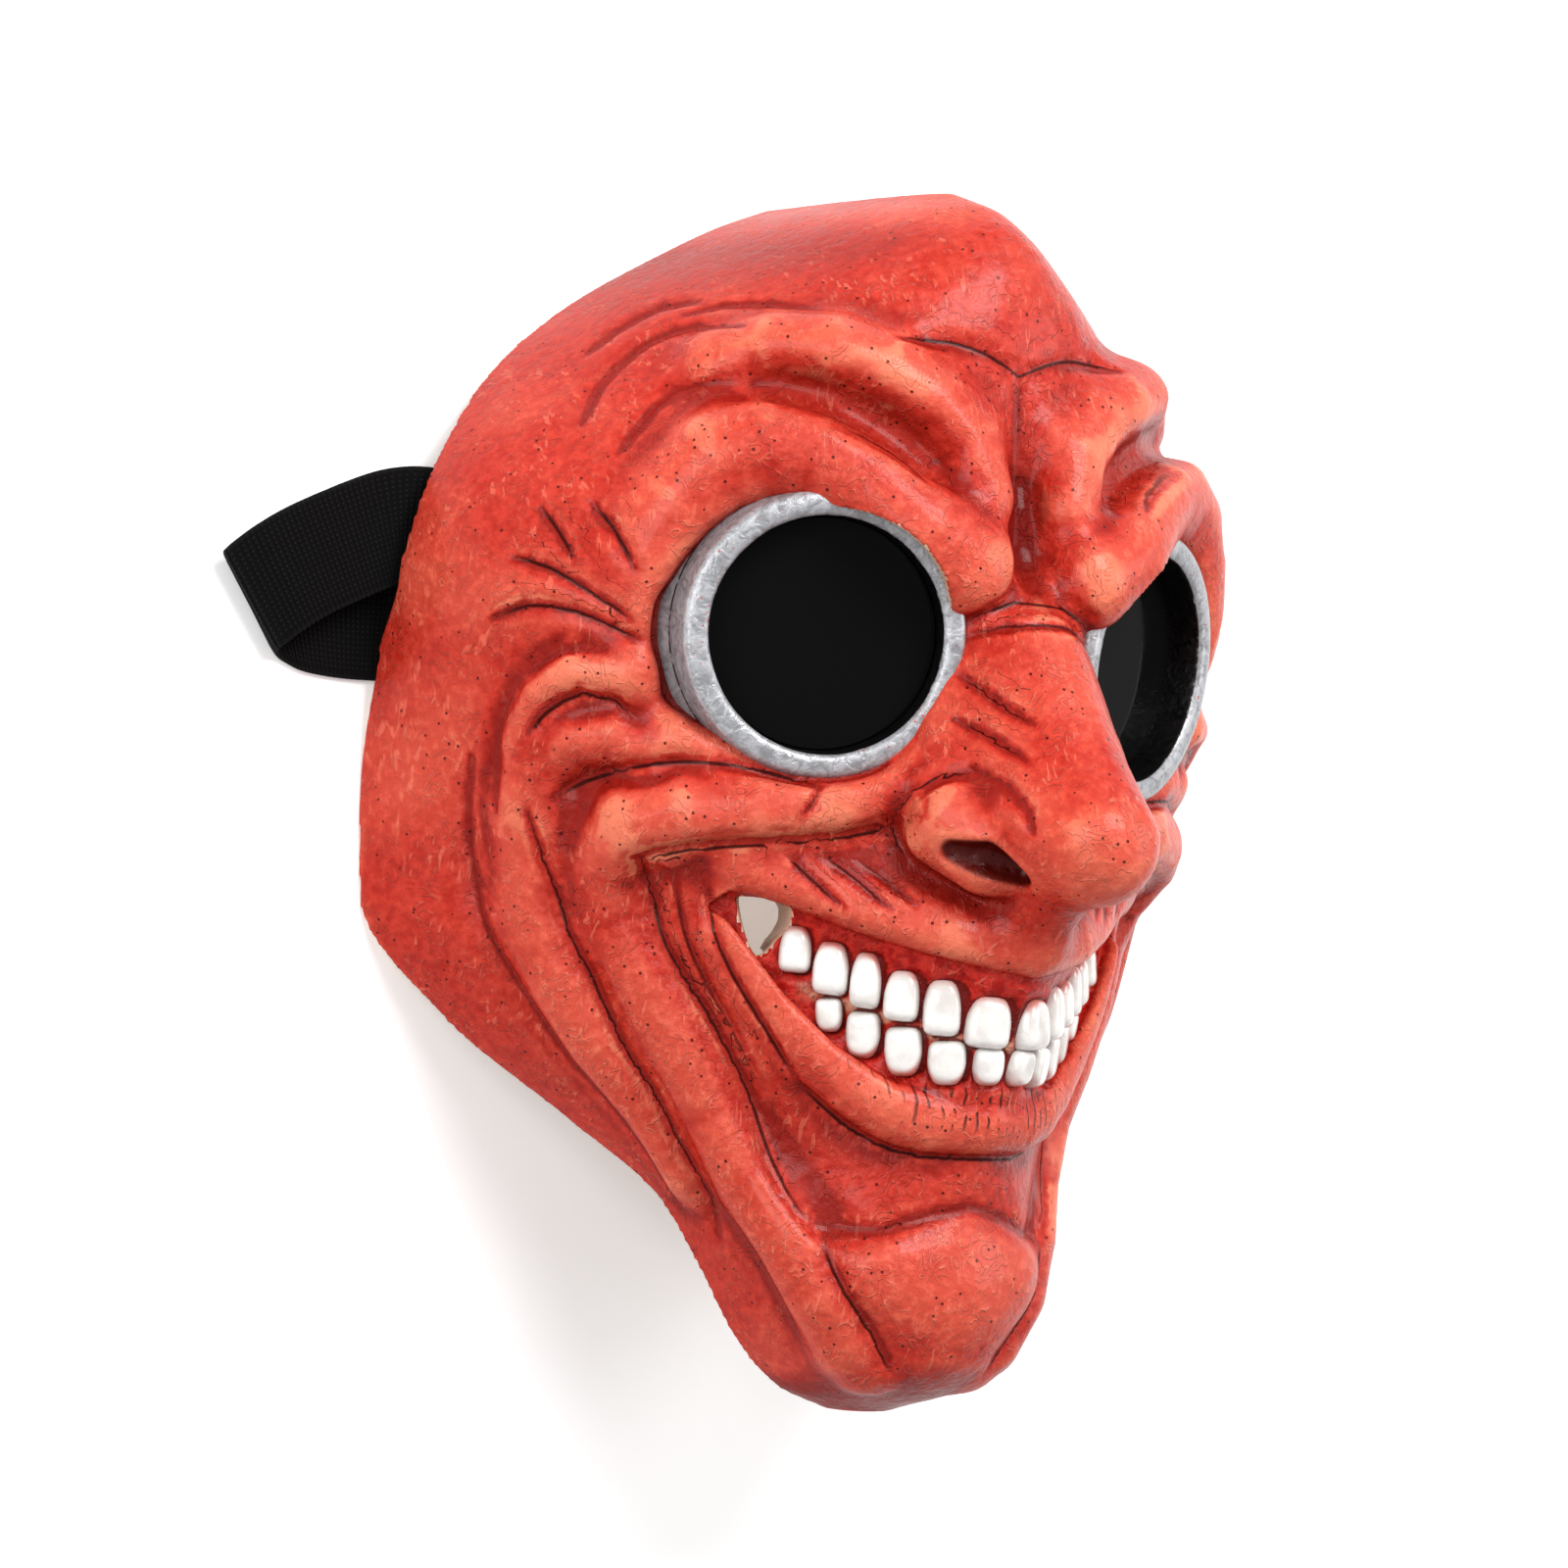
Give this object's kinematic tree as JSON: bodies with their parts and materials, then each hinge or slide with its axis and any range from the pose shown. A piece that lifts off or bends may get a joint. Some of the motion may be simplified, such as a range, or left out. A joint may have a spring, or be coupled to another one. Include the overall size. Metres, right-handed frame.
{
  "type": "grinning devil mask",
  "caption": "Hollow latex full-face mask of a grinning, wrinkled red devil with round goggle rims, dark lenses and an elastic strap.",
  "frame": {"origin": "on the table, under the middle of the whole part's bounding box, strap loop included", "axes": "the mask lies face up on its cut rim: +Z straight out of the face, +Y to the crown, -X to the wearer's right, where the strap loops out"},
  "size_m": [0.2476, 0.2694, 0.1419],
  "materials": {
    "skin": "satin cast latex, painted red, with silver goggle rims and white teeth painted on",
    "lens": "gloss, near-black tint",
    "strap": "matt black woven elastic"
  },
  "bodies": {
    "root": {"mask_shell": "skin", "lens_right": "lens", "lens_left": "lens", "elastic_strap": "strap"}
  },
  "joints": []
}
